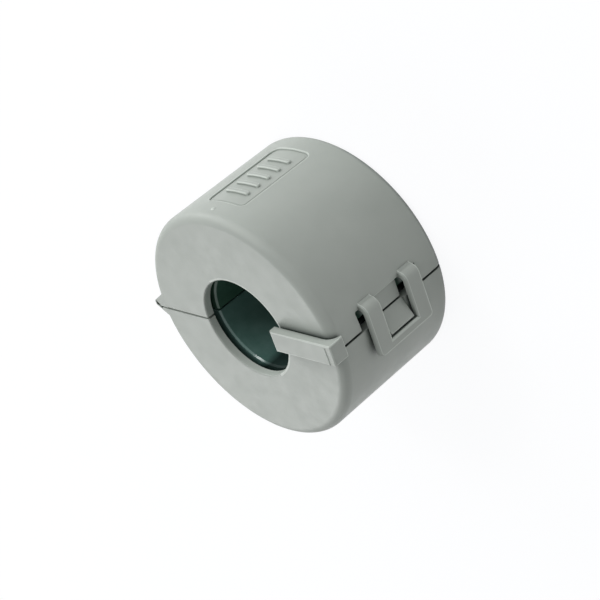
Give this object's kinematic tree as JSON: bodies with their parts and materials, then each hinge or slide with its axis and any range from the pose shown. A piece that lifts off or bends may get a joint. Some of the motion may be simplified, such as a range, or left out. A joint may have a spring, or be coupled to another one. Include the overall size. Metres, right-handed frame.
{
  "type": "clip on ferrite bead",
  "caption": "Round split ferrite bead in a hinged plastic case that snaps shut round a cable, with a side latch and a guard bar at one end.",
  "frame": {"origin": "centre of the cable bore, at mid length of the case", "axes": "+Z along the cable towards the end with the guard bar, +X from the hinge to the latch, +Y from the base half to the cover half"},
  "size_m": [0.0318, 0.0301, 0.0195],
  "materials": {
    "case_plastic": "satin",
    "ferrite": "satin"
  },
  "bodies": {
    "base": {"base_shell": "case_plastic", "base_core": "ferrite", "hinge_strap": "case_plastic"},
    "cover": {"cover_shell": "case_plastic", "cover_core": "ferrite"},
    "latch": {"latch_frame": "case_plastic"}
  },
  "joints": [
    {"name": "case_open", "type": "hinge", "parent": "base", "child": "cover", "pos_m": [-0.0158, 0.00015, 0], "axis": [0, 0, 1], "range_deg": [0, 180], "deforming": ["hinge_strap"]},
    {"name": "latch_flex", "type": "hinge", "parent": "cover", "child": "latch", "pos_m": [0.01477, 0.0026, -0.0002], "axis": [0, 0, 1], "range_deg": [0, 12], "stiffness_Nm_per_rad": 0.11}
  ]
}
